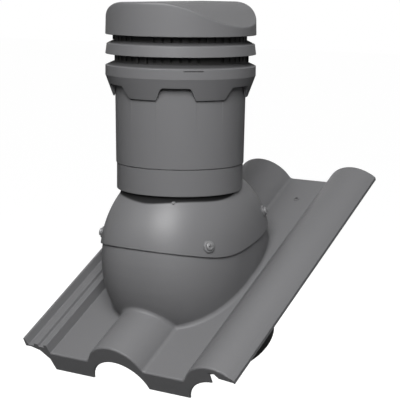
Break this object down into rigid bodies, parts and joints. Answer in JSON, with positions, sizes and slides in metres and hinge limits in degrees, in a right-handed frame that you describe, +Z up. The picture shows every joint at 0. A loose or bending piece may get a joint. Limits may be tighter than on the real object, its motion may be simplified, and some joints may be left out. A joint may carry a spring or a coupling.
{
  "type": "roof tile vent",
  "caption": "Double-roman roof tile with a moulded dome, a pitch hood and an upright exhaust chimney with a louvred rain cap, and a duct spigot below.",
  "frame": {"origin": "where the chimney's upright axis meets the plane of the tile's pans", "axes": "+Z up along the chimney, +X across the roof to the right seen from the eave, +Y level and up the slope; the tile lies at 28.35 degrees"},
  "size_m": [0.3286, 0.391, 0.5156],
  "materials": {
    "tile_plastic": "matt graphite moulded plastic with a fine grain",
    "hood_plastic": "satin graphite moulded plastic",
    "chimney_plastic": "satin graphite moulded plastic",
    "duct_plastic": "black moulded plastic",
    "guard_plastic": "dark moulded plastic",
    "seal_rubber": "black rubber",
    "screw_steel": "dull coated steel",
    "sleeve_foam": "closed-cell foam"
  },
  "bodies": {
    "root": {"tile_plate": "tile_plastic", "dome_hood": "hood_plastic", "hood_screws": "screw_steel", "hood_washers": "screw_steel", "neck_gasket": "seal_rubber", "pipe_seal": "seal_rubber", "spigot_gasket": "seal_rubber", "duct_spigot": "duct_plastic", "spigot_screws": "screw_steel", "exhaust_pipe": "duct_plastic", "insulation_sleeve": "sleeve_foam", "chimney_collar": "chimney_plastic", "outer_housing": "chimney_plastic", "shroud": "chimney_plastic", "shroud_screws": "screw_steel", "guard_grille": "guard_plastic", "louver_ring": "chimney_plastic", "top_cap": "chimney_plastic", "cap_screws": "screw_steel", "rain_deflector": "guard_plastic"}
  },
  "joints": []
}
